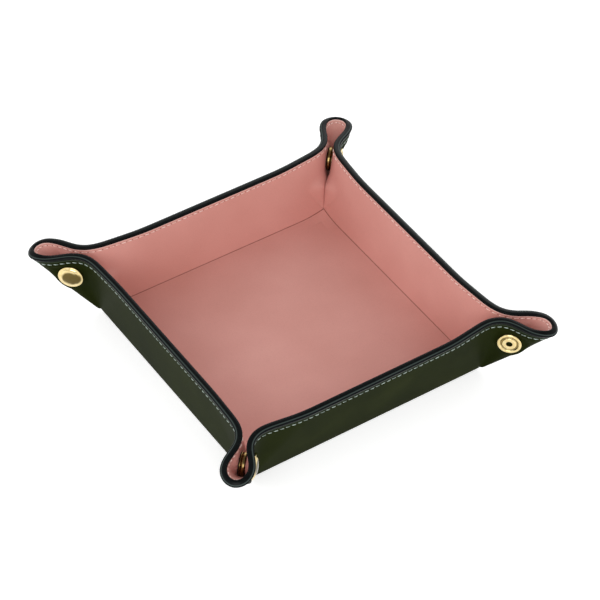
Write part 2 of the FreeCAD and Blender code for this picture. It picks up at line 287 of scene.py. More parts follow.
def liftCorner(place, x, y, depth):
    # the lining gathers at each base corner and rises towards the pinch
    away = np.linalg.norm(place - upward * sheet["stack"], axis=-1)
    upWall = smooth((rulingAngle(x, y) - fold["liftFrom"]) / fold["liftOver"])
    share = np.where(y < 0, 1, 1 - upWall) * np.clip(depth - leather["liningBack"], 0, 1)
    rise = fold["lift"] * np.clip(1 - away / fold["liftReach"], 0, 1) ** 2 * share
    return place + upward * rise[..., None]


def toTray(wallName, end, place):
    # from a corner's own axes to the tray's, in metres
    placed = place + np.array([halfBase, halfBase, 0])
    placed = placed * np.array([ends[end], 1, 1])
    turn = math.radians(-90 * walls.index(wallName))
    c, s = math.cos(turn), math.sin(turn)
    spin = np.array([[c, -s, 0], [s, c, 0], [0, 0, 1]])
    return placed @ spin.T * mm


def onTray(wallName, end, x, y, depth):
    # a flat point's finished place, in metres
    x, y, depth = matched(x, y, depth)
    corner = corners[wallName, end]
    place = pressSeat(bentPoint(corner, x, y, depth), x, y, depth)
    place = closePinch(place, bentPoint(corner, x, y, np.zeros_like(depth)), x, y, depth)
    return toTray(wallName, end, liftCorner(raiseEar(place, x, y), x, y, depth))


def neighbourOf(wallName, end):
    return walls[(walls.index(wallName) + ends[end]) % len(walls)]


def snapCentre(wallName, end):
    # each half is drawn with the other beyond the diagonal, so both have the same out and up
    other = neighbourOf(wallName, end), "stud" if end == "cap" else "cap"
    spots = [bentPoint(corners[key], *snapSpot, sheet["stack"]) for key in ((wallName, end), other)]
    middle = (spots[0] + spots[1]) / 2
    return float(middle @ outward), float(middle[2])


snapTurn = math.radians(snap["angle"])
snapSpot = snap["reach"] * math.sin(snapTurn), snap["reach"] * math.cos(snapTurn)
leans = sheet["leans"]
halves = [(wallName, end) for wallName in walls for end in ends]
corners = {key: makeCorner(leans[key[0]], leans[neighbourOf(*key)]) for key in halves}
centres = {key: snapCentre(*key) for key in halves}
print("corners bent", len(corners))


# the flat pattern's rim, as a distance from the wall's middle

def rimPoint(run, inset):
    # run follows the sheet's edge; the inset goes in from it, square to the edge
    run, inset = matched(run, inset)
    turn = np.clip((run - arcStart) / sheet["cornerRadius"], 0, None)
    radius = sheet["cornerRadius"] - inset
    onArc = run > arcStart
    x = np.where(onArc, arcCentre + radius * np.sin(turn), run - halfBase)
    y = np.where(onArc, arcCentre + radius * np.cos(turn), sheet["wallSlant"] - inset)
    return x, y


def runAt(angle):
    # where on the rim a ruling ends
    turn = math.radians(angle)
    reach = float(sheetReach(angle))
    x, y = reach * math.sin(turn), reach * math.cos(turn)
    if x <= arcCentre:
        return x + halfBase
    return arcStart + sheet["cornerRadius"] * math.atan2(x - arcCentre, y - arcCentre)


def insetOf(x, y):
    # how far in from the sheet's edge a flat point lies
    dx, dy = x - arcCentre, y - arcCentre
    onArc = sheet["cornerRadius"] - np.hypot(np.maximum(dx, 0), np.maximum(dy, 0))
    return np.where((dx > 0) & (dy > 0), onArc, sheet["wallSlant"] - np.maximum(x, y))


# the two layers: depths of their faces, the pressed lines along the rim with their painted shade
# and painted highlight, and the points' spacing
leather = {
    "coverTop": 0.0, "coverBack": 1.95, "liningTop": 3.0, "liningBack": 2.0, "creaseInset": 1.9,
    "creaseDeep": 0.14, "creaseWide": 0.2, "highlightInset": 2.2, "highlightWide": 0.14,
    "stitchInset": {"cover": 3.75, "lining": 3.1},
    "channelDeep": 0.10, "channelWide": 0.55, "shadeShare": 0.1, "shadeWide": 0.4,
    "cutInset": 1.75, "cutWide": 0.22, "bendFrom": -24.0, "earFrom": 37.0, "closeFrom": 12.0,
    "closeSpacing": 0.9, "columnSpacing": 1.1, "middleSpacing": 3.0, "tipSpacing": 0.88,
    "middleRows": 13,
}
# insets of the rows by the rim, distances of those by the fold and the rows in under the base
nearRim = [0.6, 1.0, 1.3, 1.5, 1.66, 1.82, 1.98, 2.14, 2.3, 2.6, 2.8, 3.0, 3.2, 3.4, 3.6, 3.85,
           4.2, 4.7, 5.8]
nearFold = [0.0, 0.15, 0.3, 0.5, 0.8, 1.1, 1.5, 1.9, 2.4, 3.2, 4.4]
underBase = [-0.15, -0.3, -0.5, -0.8, -1.1, -1.5, -1.9, -2.4, -3.3, -4.6, -6.2, -fold["toSeam"]]


def spaced(low, high, spacing):
    count = max(2, math.ceil((high - low) / spacing))
    return np.linspace(low, high, count + 1)


def zoneRuns():
    # rim runs of the four zones of half a wall, with matching ends
    wallEnd = halfBase - (sheet["wallSlant"] - nearRim[-1])
    bend = runAt(leather["bendFrom"])
    ear = runAt(leather["earFrom"])
    close = wallEnd - leather["closeFrom"]
    wide = spaced(0, close, leather["middleSpacing"])
    return {
        "middle": np.concatenate([wide[:-1], spaced(close, wallEnd, leather["closeSpacing"])]),
        "side": spaced(wallEnd, bend, leather["columnSpacing"]),
        "pleat": spaced(bend, ear, leather["columnSpacing"]),
        "tip": spaced(ear, rimLength, leather["tipSpacing"]),
    }


def zoneSpans():
    # which columns of the whole run are a zone's; neighbours share one
    spans, at = {}, 0
    for zone, runs in zones.items():
        spans[zone] = slice(at, at + len(runs))
        at += len(runs) - 1
    return spans


zones = zoneRuns()
spans = zoneSpans()
allRuns = np.concatenate([zones["middle"]] + [zones[z][1:] for z in ("side", "pleat", "tip")])


def columnFlat(runs):
    # flat points of every column, from the rim in to the fold and on under the base
    x, y = rimPoint(runs[:, None], np.array(nearRim)[None, :])
    lastX, lastY = x[:, -1], y[:, -1]
    column = (lastX + halfBase) / (halfBase - lastY)
    isFan = rulingAngle(lastX, lastY) >= fanBend["wallEnd"] - 1e-6
    footX = np.where(isFan, 0.0, -halfBase + halfBase * column)
    length = np.hypot(lastX - footX, lastY)
    shares = np.linspace(1, 0, leather["middleRows"] + 2)[1:-1]
    downs = [nearFold[-1] + (length - nearFold[-1]) * share for share in shares]
    downs += [np.full_like(length, down) for down in nearFold[::-1]]
    xs, ys = [x], [y]
    for down in downs:
        share = down / length
        xs.append((footX + (lastX - footX) * share)[:, None])
        ys.append((lastY * share)[:, None])
    for under in underBase:
        xs.append(footX[:, None])
        ys.append(np.full_like(footX, under)[:, None])
    return np.concatenate(xs, 1), np.concatenate(ys, 1)


def gridNormals(grid):
    return unit(np.cross(np.gradient(grid, axis=0), np.gradient(grid, axis=1)))


def facedOut(verts, normals, faces, sample):
    # turned over if the sample face looks against its points' normals
    a, b, c, d = [verts[i] for i in faces[sample]]
    if np.cross(c - a, d - b) @ normals[faces[sample][0]] < 0:
        return [face[::-1] for face in faces]
    return faces


def slabOf(top, back, topNormals, backNormals, marks):
    # a closed sheet between two grids of points, whose normals look away from each other
    away = top - back
    topNormals = topNormals * np.sign(np.sum(topNormals * away, axis=-1).mean())
    backNormals = backNormals * -np.sign(np.sum(backNormals * away, axis=-1).mean())
    verts = np.concatenate([top.reshape(-1, 3), back.reshape(-1, 3)])
    normals = np.concatenate([topNormals.reshape(-1, 3), backNormals.reshape(-1, 3)])
    at = np.arange(top[..., 0].size).reshape(top.shape[:2])
    shift = at.size
    quads = np.stack([at[:-1, :-1], at[:-1, 1:], at[1:, 1:], at[1:, :-1]], -1).reshape(-1, 4)
    faces = quads.tolist() + (quads[:, ::-1] + shift).tolist()
    rim = np.concatenate([at[0], at[1:, -1], at[-1, -2::-1], at[-2:0:-1, 0]]).tolist()
    faces += [(b, a, a + shift, b + shift) for a, b in zip(rim, rim[1:] + rim[:1])]
    values = {key: np.append(grid.reshape(-1), np.zeros(shift)) for key, grid in marks.items()}
    return verts, normals, facedOut(verts, normals, faces, 0), values


def tubeFaces(rings, points):
    # the skin and the two ends of a tube of rings
    at = np.arange(rings * points).reshape(rings, points)
    beside = np.roll(at, -1, axis=1)
    skin = np.stack([at[:-1], beside[:-1], beside[1:], at[1:]], -1).reshape(-1, 4)
    return skin.tolist() + [at[0, ::-1].tolist(), at[-1].tolist()]


def linked(name, data):
    obj = bpy.data.objects.new(name, data)
    bpy.context.scene.collection.objects.link(obj)
    return obj


def setMarks(mesh, key, numbers):
    # a number for each point, for the material to draw with
    layer = mesh.attributes.new(key, "FLOAT", "POINT")
    layer.data.foreach_set("value", np.asarray(numbers, dtype=np.float32))


def toObject(name, verts, faces, normals=None, materials=(), values=None):
    mesh = bpy.data.meshes.new(name)
    mesh.from_pydata([tuple(v) for v in verts], [], faces)
    for material in materials:
        mesh.materials.append(material)
    mesh.update()
    for polygon in mesh.polygons:
        polygon.use_smooth = True
    if normals is not None:
        mesh.normals_split_custom_set_from_vertices([tuple(n) for n in normals])
    for key, numbers in (values or {}).items():
        setMarks(mesh, key, numbers)
    return linked(name, mesh)


def mergedObject(name, parts, material):
    # slabs that lie edge to edge, as one object
    verts, normals, faces, values = [], [], [], {}
    for partVerts, partNormals, partFaces, partValues in parts:
        shift = sum(len(v) for v in verts)
        verts.append(partVerts)
        normals.append(partNormals)
        faces += [tuple(i + shift for i in face) for face in partFaces]
        for key, numbers in partValues.items():
            values.setdefault(key, []).append(numbers)
    values = {key: np.concatenate(numbers) for key, numbers in values.items()}
    return toObject(name, np.concatenate(verts), faces, np.concatenate(normals), [material], values)


# materials

def toLinear(hexColour):
    srgb = [int(hexColour[i:i + 2], 16) / 255 for i in (1, 3, 5)]
    return *[v / 12.92 if v <= 0.04045 else ((v + 0.055) / 1.055) ** 2.4 for v in srgb], 1.0


def addNode(tree, kind, settings=None, inputs=None, links=None, stops=()):
    # one node with its settings, its input values, the sockets that feed it and a ramp's stops
    node = tree.nodes.new(kind)
    for key, value in (settings or {}).items():
        setattr(node, key, value)
    for key, value in (inputs or {}).items():
        node.inputs[key].default_value = value
    for key, socket in (links or {}).items():
        tree.links.new(socket, node.inputs[key])
    if stops:
        elements = node.color_ramp.elements
        for _ in stops[2:]:
            elements.new(0.5)
        for element, (place, colour) in zip(elements, stops):
            grey = not isinstance(colour, str)
            element.position = place
            element.color = (colour, colour, colour, 1) if grey else toLinear(colour)
    return node


def startMaterial(name):
    # an empty material, and its own coordinates in metres
    material = bpy.data.materials.new(name)
    material.use_nodes = True
    tree = material.node_tree
    tree.nodes.clear()
    coords = addNode(tree, "ShaderNodeTexCoord")
    return material, tree, {"Vector": coords.outputs["Object"]}


def finishMaterial(tree, inputs, links, look=None, source=None):
    # the shader, with a roughness between the look's two where a source sets it
    shader = addNode(tree, "ShaderNodeBsdfPrincipled", inputs=inputs, links=links)
    if source:
        rough = addNode(tree, "ShaderNodeMapRange", links={"Value": source},
                        inputs={"To Min": look["rough"][0], "To Max": look["rough"][1]})
        tree.links.new(rough.outputs["Result"], shader.inputs["Roughness"])
    addNode(tree, "ShaderNodeOutputMaterial", links={"Surface": shader.outputs["BSDF"]})


def drawnOver(tree, under, mark, look):
    # the mark's colour where the points' marks say so
    drawn = addNode(tree, "ShaderNodeAttribute", {"attribute_name": mark})
    over = addNode(tree, "ShaderNodeMix", {"data_type": "RGBA"}, {"B": toLinear(look[mark])},
                   {"Factor": drawn.outputs["Fac"], "A": under})
    return over.outputs["Result"]


def leatherMaterial(name, look):
    # finished cow leather: rolled smooth, with a fine pebble from the hair side and soft cloudy
    # dye; the creases and stitch channels get painted shade, the rim's lines painted highlights
    material, tree, place = startMaterial(name)
    cloud, pores, wave = [
        addNode(tree, "ShaderNodeTexNoise", links=place,
                inputs={"Scale": 1 / (look[key] * mm), "Detail": detail})
        for key, detail in (("cloud", 3.0), ("pore", 4.0), ("wave", 1.0))]
    pebble = addNode(tree, "ShaderNodeTexVoronoi", {"feature": "SMOOTH_F1"}, links=place,
                     inputs={"Scale": 1 / (look["pebble"] * mm), "Smoothness": 0.6})
    dye = addNode(tree, "ShaderNodeValToRGB", links={"Fac": cloud.outputs["Fac"]},
                  stops=[(0.3, look["dark"]), (0.55, look["colour"]), (0.8, look["light"])])
    speck = addNode(tree, "ShaderNodeValToRGB", links={"Fac": pebble.outputs["Distance"]},
                    stops=[(0.0, 1.0), (0.9, look["pebbleShade"])])
    tinted = addNode(tree, "ShaderNodeMix", {"data_type": "RGBA", "blend_type": "MULTIPLY"},
                     inputs={"Factor": 1.0},
                     links={"A": dye.outputs["Color"], "B": speck.outputs["Color"]})
    # painted shade: darker colour in the crease, along the fold and in the stitch channel
    colour = drawnOver(tree, tinted.outputs["Result"], "pressed", look)
    colour = drawnOver(tree, colour, "pale", look)
    pebbled = addNode(tree, "ShaderNodeBump", {"invert": True},
                      inputs={"Strength": look["bump"], "Distance": 0.05 * mm},
                      links={"Height": pebble.outputs["Distance"]})
    pored = addNode(tree, "ShaderNodeBump",
                    inputs={"Strength": look["bump"] * 0.7, "Distance": 0.04 * mm},
                    links={"Height": pores.outputs["Fac"], "Normal": pebbled.outputs["Normal"]})
    waved = addNode(tree, "ShaderNodeBump",
                    inputs={"Strength": look["waveBump"], "Distance": 1.0 * mm},
                    links={"Height": wave.outputs["Fac"], "Normal": pored.outputs["Normal"]})
    finishMaterial(tree, {"IOR": 1.5, "Specular IOR Level": look["specular"],
                          "Sheen Weight": look["sheen"], "Sheen Roughness": 0.5},
                   {"Base Color": colour, "Normal": waved.outputs["Normal"]},
                   look, pores.outputs["Fac"])
    return material


# pattern sizes in mm
# the last two colours of each look are for painted shade and painted highlight lines
coverLook = {
    "colour": "#1f250a", "dark": "#191f08", "light": "#272d10", "cloud": 30, "pebble": 0.55,
    "pore": 0.22, "pebbleShade": 0.8, "rough": (0.4, 0.5), "bump": 0.3, "wave": 22,
    "waveBump": 0.05, "specular": 0.01, "sheen": 0.0, "pressed": "#070908", "pale": "#3c453d",
}
liningLook = {
    "colour": "#d99d93", "dark": "#d3968b", "light": "#dfa59b", "cloud": 45, "pebble": 0.5,
    "pore": 0.2, "pebbleShade": 0.94, "rough": (0.5, 0.6), "bump": 0.2, "wave": 26,
    "waveBump": 0.04, "specular": 0.35, "sheen": 0.05, "pressed": "#7d443c", "pale": "#e6c3ba",
}
coverLeather = leatherMaterial("dark green cover leather", coverLook)
liningLeather = leatherMaterial("pink lining leather", liningLook)


def paintMaterial(name, look):
    # edge paint: several rolled coats of acrylic over the sanded edge, nearly black, rounded and
    # slick, with a painted highlight line along its outer shoulder
    material, tree, place = startMaterial(name)
    lumps = addNode(tree, "ShaderNodeTexNoise", links=place,
                    inputs={"Scale": 1 / (look["lump"] * mm), "Detail": 2.0})
    coats = addNode(tree, "ShaderNodeValToRGB", links={"Fac": lumps.outputs["Fac"]},
                    stops=[(0.3, look["dark"]), (0.7, look["colour"])])
    # painted highlight: a paler line on the paint where the points' marks say so
    highlighted = drawnOver(tree, coats.outputs["Color"], "pale", look)
    dents = addNode(tree, "ShaderNodeBump", links={"Height": lumps.outputs["Fac"]},
                    inputs={"Strength": look["bump"], "Distance": 0.2 * mm})
    finishMaterial(tree, {"Specular IOR Level": look["specular"]},
                   {"Base Color": highlighted, "Normal": dents.outputs["Normal"]},
                   look, lumps.outputs["Fac"])
    return material


# the pale colour is a painted highlight line
paintLook = {
    "colour": "#0b0f0f", "dark": "#070a0b", "lump": 2.2, "bump": 0.12, "rough": (0.2, 0.32),
    "specular": 0.08, "pale": "#454f4c",
}
edgePaint = paintMaterial("black edge paint", paintLook)


def threadMaterial(name, look):
    # three-ply waxed polyester thread: the plies twist round as fine slanted bands
    material, tree, place = startMaterial(name)
    plies = addNode(tree, "ShaderNodeTexWave", {"bands_direction": "DIAGONAL"}, links=place,
                    inputs={"Scale": 1 / (look["ply"] * mm) / 20, "Distortion": 1.0})
    dye = addNode(tree, "ShaderNodeValToRGB", links={"Fac": plies.outputs["Fac"]},
                  stops=[(0.1, look["dark"]), (0.7, look["colour"])])
    twist = addNode(tree, "ShaderNodeBump", links={"Height": plies.outputs["Fac"]},
                    inputs={"Strength": 0.5, "Distance": 0.1 * mm})
    finishMaterial(tree, {"Roughness": 0.55, "Sheen Weight": 0.2},
                   {"Base Color": dye.outputs["Color"], "Normal": twist.outputs["Normal"]})
    return material


greyThread = threadMaterial("pale grey polyester thread",
                            {"colour": "#a9b8b0", "dark": "#6f7d76", "ply": 0.35})
pinkThread = threadMaterial("pale pink polyester thread",
                            {"colour": "#fae3da", "dark": "#e8bfb2", "ply": 0.35})


def grainMaterial(name, look):
    # awl holes are dark, as light doesn't reach in; fibreboard is pressed from grey paper pulp,
    # with short fibres in it
    material, tree, place = startMaterial(name)
    grain = addNode(tree, "ShaderNodeTexNoise", links=place,
                    inputs={"Scale": 1 / (look["grain"] * mm), "Detail": look["detail"]})
    tint = addNode(tree, "ShaderNodeValToRGB", links={"Fac": grain.outputs["Fac"]},
                   stops=[(0.3, look["dark"]), (0.7, look["colour"])])
    finishMaterial(tree, {"Roughness": 0.9}, {"Base Color": tint.outputs["Color"]})
    return material


darkHole = grainMaterial("awl hole in dark leather",
                         {"colour": "#12150f", "dark": "#0a0c09", "grain": 0.3, "detail": 2.0})
redHole = grainMaterial("awl hole in pink leather",
                        {"colour": "#925550", "dark": "#7c4640", "grain": 0.3, "detail": 2.0})
greyBoard = grainMaterial("grey fibreboard",
                          {"colour": "#b0a89c", "dark": "#8d857a", "grain": 0.8, "detail": 6.0})


def brassMaterial(name, look):
    # pressed brass with a bright gold plate: mirror polish, with hair-fine wear round the turned
    # parts, and a brown painted shade and painted dark reflection where the points' marks say so
    material, tree, place = startMaterial(name)
    wear = addNode(tree, "ShaderNodeTexNoise", links=place,
                   inputs={"Scale": 1 / (look["wear"] * mm), "Detail": 5.0})
    plate = addNode(tree, "ShaderNodeValToRGB", links={"Fac": wear.outputs["Fac"]},
                    stops=[(0.35, look["dark"]), (0.65, look["colour"])])
    # painted shade and painted dark reflection where the points' marks say so
    darkenedPlate = drawnOver(tree, plate.outputs["Color"], "paintedShadeAndReflection", look)
    finishMaterial(tree, {"Metallic": 1.0}, {"Base Color": darkenedPlate}, look, wear.outputs["Fac"])
    return material


# the third colour of each is for painted shade and painted dark reflection
goldLook = {"colour": "#ead7a2", "dark": "#dec68a", "paintedShadeAndReflection": "#4d4018", "wear": 1.5,
            "rough": (0.05, 0.1)}
bronzeLook = {"colour": "#a48a58", "dark": "#7c683e", "paintedShadeAndReflection": "#1b1a17", "wear": 0.8,
              "rough": (0.14, 0.24)}
goldBrass = brassMaterial("gold plated brass", goldLook)
darkBronze = brassMaterial("dark bronze spring brass", bronzeLook)
print("materials made")


# the leather

layers = {
    "cover": {"material": coverLeather, "slot": "cover_leather"},
    "lining": {"material": liningLeather, "slot": "lining_leather"},
}


def blendZone(obj):
    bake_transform(obj)


def leatherGrids(wallName, end, side):
    # the visible and the hidden face of half a wall's layer, with the painted shade and painted
    # highlight marks on the visible one
    x, y = columnFlat(allRuns)
    inset = insetOf(x, y)
    creased = bell(inset - leather["creaseInset"], leather["creaseWide"])
    channel = bell(inset - leather["stitchInset"][side], leather["channelWide"]) * (y > 0)
    if side == "cover":
        depth = leather["coverTop"] + leather["creaseDeep"] * creased
        depth = depth + leather["channelDeep"] * channel
        # painted shade in the crease beside the rim
        pressed = creased
        # painted highlight: a paler line beside the crease, where its lip would catch the light
        pale = bell(inset - leather["highlightInset"], leather["highlightWide"])
    else:
        depth = leather["liningTop"] - leather["channelDeep"] * channel
        depth = depth - fold["creaseDeep"] * bell(y, fold["creaseWide"])
        # painted shade along the fold line and in the stitch channel
        pressed = bell(y, fold["foldShadeWide"]) * (x < 0)
        shade = bell(inset - leather["stitchInset"][side], leather["shadeWide"])
        pressed = pressed + leather["shadeShare"] * shade
        # painted highlight: a paler line on the lining just inside the paint's lip
        pale = bell(inset - leather["cutInset"], leather["cutWide"])
    top = onTray(wallName, end, x, y, depth)
    back = onTray(wallName, end, x, y, np.full_like(x, leather[side + "Back"]))
    return top, back, gridNormals(top), gridNormals(back), pressed, pale


def zoneSlabs(wallName, end, side):
    # cut from one run of columns, so that normals carry across the seams
    grids = leatherGrids(wallName, end, side)
    slabs = {}
    for zone, span in spans.items():
        rows = slice(None) if zone == "middle" else slice(0, -len(underBase))
        *faces, pressed, pale = [grid[span, rows] for grid in grids]
        slabs[zone] = slabOf(*faces, {"pressed": pressed, "pale": pale})
    return slabs


def buildLeather():
    for wallName in walls:
        for side, layer in layers.items():
            slabs = {end: zoneSlabs(wallName, end, side) for end in ends}
            parts = [slabs[end][zone] for end in ends for zone in ("middle", "side")]
            wall = mergedObject(wallName + "Wall" + side.title(), parts, layer["material"])
            blendZone(wall)
            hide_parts(wallName + "_wall_" + side)
            for end in ends:
                for zone in ("pleat", "tip"):
                    name = wallName + end.title() + zone.title() + side.title()
                    piece = mergedObject(name, [slabs[end][zone]], layer["material"])
                    blendZone(piece)
                    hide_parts("_".join([wallName, end, zone, side]))


buildLeather()
print("leather bent")


def buildBase():
    # the middle of the base, out to the seam where the walls' leather begins
    width = 2 * (halfBase - fold["toSeam"]) * mm
    for side, layer in layers.items():
        low, high = sorted([leather[side + "Top"], leather[side + "Back"]])
        bpy.ops.mesh.primitive_cube_add(size=1, location=(0, 0, (low + high) / 2 * mm),
                                        scale=(width, width, (high - low) * mm))
        piece = bpy.context.object
        piece.name = "base" + side.title()
        bpy.ops.object.transform_apply(location=True, rotation=True, scale=True)
        piece.data.materials.append(layer["material"])
        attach(piece, "base")
        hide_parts("base_" + side)


buildBase()
print("base made")


# the painted edge: a bead over the three layers, whose two lips end in the leather
bead = {
    "overlap": 1.55, "proud": 0.24,
    "lips": [(0.28, 0.18), (0.06, 0.06), (0.0, -0.15)],
    "points": 13, "shoulder": 0.75, "squareness": 0.8, "highlightAt": 7,
}


def beadLoop():
    # the bead's section, as insets and depths round it
    stack = sheet["stack"]
    half = stack / 2
    loop = [(bead["overlap"] - back, -proud) for back, proud in bead["lips"][::-1]]
    for i in range(bead["points"]):
        turn = math.pi * i / (bead["points"] - 1)
        inset = bead["shoulder"] * (1 - math.sin(turn) ** bead["squareness"])
        loop.append((inset, half - (half + bead["proud"]) * math.cos(turn)))
    loop += [(bead["overlap"] - back, stack + proud) for back, proud in bead["lips"]]
    loop.append((bead["overlap"], half))
    return np.array(loop).T


def beadNormals(grid):
    around = np.roll(grid, -1, axis=1) - np.roll(grid, 1, axis=1)
    normals = unit(np.cross(np.gradient(grid, axis=0), around))
    away = grid - grid.mean(axis=1, keepdims=True)
    return normals * np.sign(np.sum(normals * away, axis=-1).mean())


def beadObject(name, grid, normals):
    verts, normals = grid.reshape(-1, 3), normals.reshape(-1, 3)
    faces = facedOut(verts, normals, tubeFaces(*grid.shape[:2]), 4)
    # the painted highlight line runs along one point of the bead's section
    highlighted = np.zeros(grid.shape[:2])
    highlighted[:, bead["highlightAt"]] = 1.0
    piece = toObject(name, verts, faces, normals, [edgePaint], {"pale": highlighted.reshape(-1)})
    return piece


def buildEdges():
    insets, depths = beadLoop()
    x, y = rimPoint(allRuns[:, None], insets[None, :])
    for wallName in walls:
        grids = {end: onTray(wallName, end, x, y, depths[None, :]) for end in ends}
        for end in ends:
            normals = beadNormals(grids[end])
            for zone in ("pleat", "tip"):
                name = wallName + end.title() + zone.title() + "Edge"
                piece = beadObject(name, grids[end][spans[zone]], normals[spans[zone]])
                blendZone(piece)
        stop = spans["side"].stop
        whole = np.concatenate([grids["stud"][:stop][::-1], grids["cap"][1:stop]])
        piece = beadObject(wallName + "WallEdge", whole, beadNormals(whole))
        blendZone(piece)


buildEdges()
print("edges painted")


# a stitch leans over its line and dives at both ends, between the awl's holes
seam = {
    "pitch": 3.0, "length": 2.2, "thick": 0.2, "endShare": 0.7, "rise": 0.1, "dive": 0.12,
    "fullness": 0.4, "slant": 0.12, "probe": 0.05, "sides": 6, "rings": 7, "holeRadius": 0.2,
    "holeSides": 8, "holeDeep": 0.1, "holeProud": 0.035,
}


def seamFace(side):
    # the depth of a layer's stitch channel, and which way is out of the leather
    if side == "cover":
        return leather["coverTop"] + leather["channelDeep"], -1
    return leather["liningTop"] - leather["channelDeep"], 1


def stitchRuns(side):
    # centres of the stitches, as runs on the seam line from the wall's middle
    arc = (sheet["cornerRadius"] - leather["stitchInset"][side]) * math.pi / 4
    total = arcStart + arc
    count = round(total / seam["pitch"])
    pitch = total / count
    return [pitch * (i + 0.5) for i in range(count)], pitch


def seamPoint(run, side):
    # a flat point on the seam line
    inset = leather["stitchInset"][side]
    if run <= arcStart:
        return np.array([run - halfBase, sheet["wallSlant"] - inset])
    radius = sheet["cornerRadius"] - inset
    turn = (run - arcStart) / radius
    return np.array([arcCentre + radius * math.sin(turn), arcCentre + radius * math.cos(turn)])


def stitchMesh(wallName, end, run, side):
    surface, lift = seamFace(side)
    sides, rings = seam["sides"], seam["rings"]
    line = []
    for i in range(rings):
        share = i / (rings - 1)
        at = run + (share - 0.5) * seam["length"]
        ahead = seamPoint(at + seam["probe"], side) - seamPoint(at - seam["probe"], side)
        across = np.array([-ahead[1], ahead[0]]) / np.linalg.norm(ahead)
        flat = seamPoint(at, side) + across * seam["slant"] * (share - 0.5) * 2
        rise = seam["rise"] * math.sin(math.pi * share) ** seam["fullness"]
        if i in (0, rings - 1):
            rise = -seam["dive"]
        line.append((flat[0], flat[1], surface + lift * rise))
    x, y, depth = np.array(line).T
    path = onTray(wallName, end, x, y, depth)
    above = onTray(wallName, end, x, y, depth + lift * seam["thick"])
    tangents = unit(np.gradient(path, axis=0))
    verts = []
    for i in range(rings):
        up = above[i] - path[i]
        up = unit(up - tangents[i] * (up @ tangents[i]))
        across = np.cross(tangents[i], up)
        radius = seam["thick"] * (seam["endShare"] if i in (0, rings - 1) else 1.0) * mm
        for j in range(sides):
            turn = 2 * math.pi * j / sides
            verts.append(path[i] + (across * math.cos(turn) + up * math.sin(turn)) * radius)
    return verts, tubeFaces(rings, sides)


def holeMesh(wallName, end, run, side):
    # the awl hole between two stitches
    surface, lift = seamFace(side)
    sides = seam["holeSides"]
    turns = 2 * math.pi * np.arange(sides) / sides
    ring = seam["holeRadius"] * np.array([np.cos(turns), np.sin(turns)])
    x, y = seamPoint(run, side)[:, None] + ring
    low = onTray(wallName, end, x, y, surface - lift * seam["holeDeep"])
    high = onTray(wallName, end, x, y, surface + lift * seam["holeProud"])
    return list(low) + list(high), tubeFaces(2, sides)


def zoneOf(x, y):
    angle = rulingAngle(x, y)
    if angle < leather["bendFrom"]:
        return "wall"
    return "pleat" if angle < leather["earFrom"] else "tip"


def seamGroups(wallName, side):
    # verts, faces and each face's material for every piece of a wall's seam
    runs, pitch = stitchRuns(side)
    groups = {}
    for end in ends:
        for run in runs:
            zone = zoneOf(*seamPoint(run, side))
            key = zone, "cap" if zone == "wall" else end
            verts, faces, kinds = groups.setdefault(key, ([], [], []))
            meshes = [stitchMesh(wallName, end, run, side),
                      holeMesh(wallName, end, run + pitch / 2, side)]
            for kind, (newVerts, newFaces) in enumerate(meshes):
                shift = len(verts)
                verts += newVerts
                # the other end is mirrored, which turns its faces over
                for face in newFaces:
                    faces.append(tuple(i + shift for i in face)[::ends[end]])
                    kinds.append(kind)
    return groups


def buildSeams():
    threads = {
        "cover": ([greyThread, darkHole], "cover_leather", "OuterSeam"),
        "lining": ([pinkThread, redHole], "lining_leather", "InnerSeam"),
    }
    for wallName in walls:
        for side, (materials, slotName, title) in threads.items():
            for (zone, end), (verts, faces, kinds) in seamGroups(wallName, side).items():
                name = wallName + ("" if zone == "wall" else end.title()) + zone.title() + title
                piece = toObject(name, verts, faces, None, materials)
                for polygon, kind in zip(piece.data.polygons, kinds):
                    polygon.material_index = kind
                blendZone(piece)


buildSeams()
print("seams sewn")


# the snaps: a profile of each, from its middle out, as (radius, height along the snap's axis)

cap = {
    "face": [(0, 6.7), (1.2, 6.66), (2.4, 6.52), (3.4, 6.32), (4.3, 6.04), (4.9, 5.76),
             (5.25, 5.52), (5.4, 5.4), (5.55, 5.36), (5.75, 5.36), (5.95, 5.28), (6.12, 5.1),
             (6.22, 4.88), (6.25, 4.68), (6.2, 4.5), (6.05, 4.4)],
    "back": [(1.7, 4.4), (1.7, 1.25), (2.2, 1.25), (2.35, 1.1), (2.3, 0.95), (2.1, 0.9),
             (1.25, 0.9), (1.25, 4.3), (0, 4.3)],
}
socket = {
    "face": [(1.75, 1.7), (5.35, 1.7), (5.75, 1.6), (6.0, 1.35), (6.1, 1.0), (6.1, 0.1),
             (6.02, -0.15), (5.8, -0.34), (5.45, -0.4)],
    "back": [(2.4, -0.4), (2.2, -0.2), (2.2, 0.0), (2.75, 0.0), (2.75, 1.3), (1.75, 1.3)],
}
stud = {
    "face": [(1.65, 1.7), (5.45, 1.7), (5.8, 1.62), (6.02, 1.42), (6.1, 1.15), (6.1, 0.95),
             (6.0, 0.72), (5.75, 0.55), (5.4, 0.5)],
    "back": [(1.95, 0.5), (1.95, 0.1), (2.05, -0.1), (2.15, -0.25), (2.12, -0.42), (2.0, -0.55),
             (1.8, -0.62), (0.0, -0.62), (0.0, -0.4), (1.65, -0.4)],
}
eyelet = {
    "face": [(1.3, 4.9), (1.42, 5.12), (1.65, 5.28), (1.95, 5.32), (2.7, 5.3), (3.15, 5.22),
             (3.4, 5.05), (3.5, 4.8), (3.62, 4.68), (3.85, 4.64), (4.1, 4.68), (4.25, 4.82),
             (4.4, 5.08), (4.65, 5.24), (5.0, 5.3), (5.4, 5.25), (5.68, 5.08), (5.83, 4.8),
             (5.83, 4.6), (5.7, 4.4)],
    "back": [(1.6, 4.4), (1.6, 0.0), (1.3, 0.0)],
}
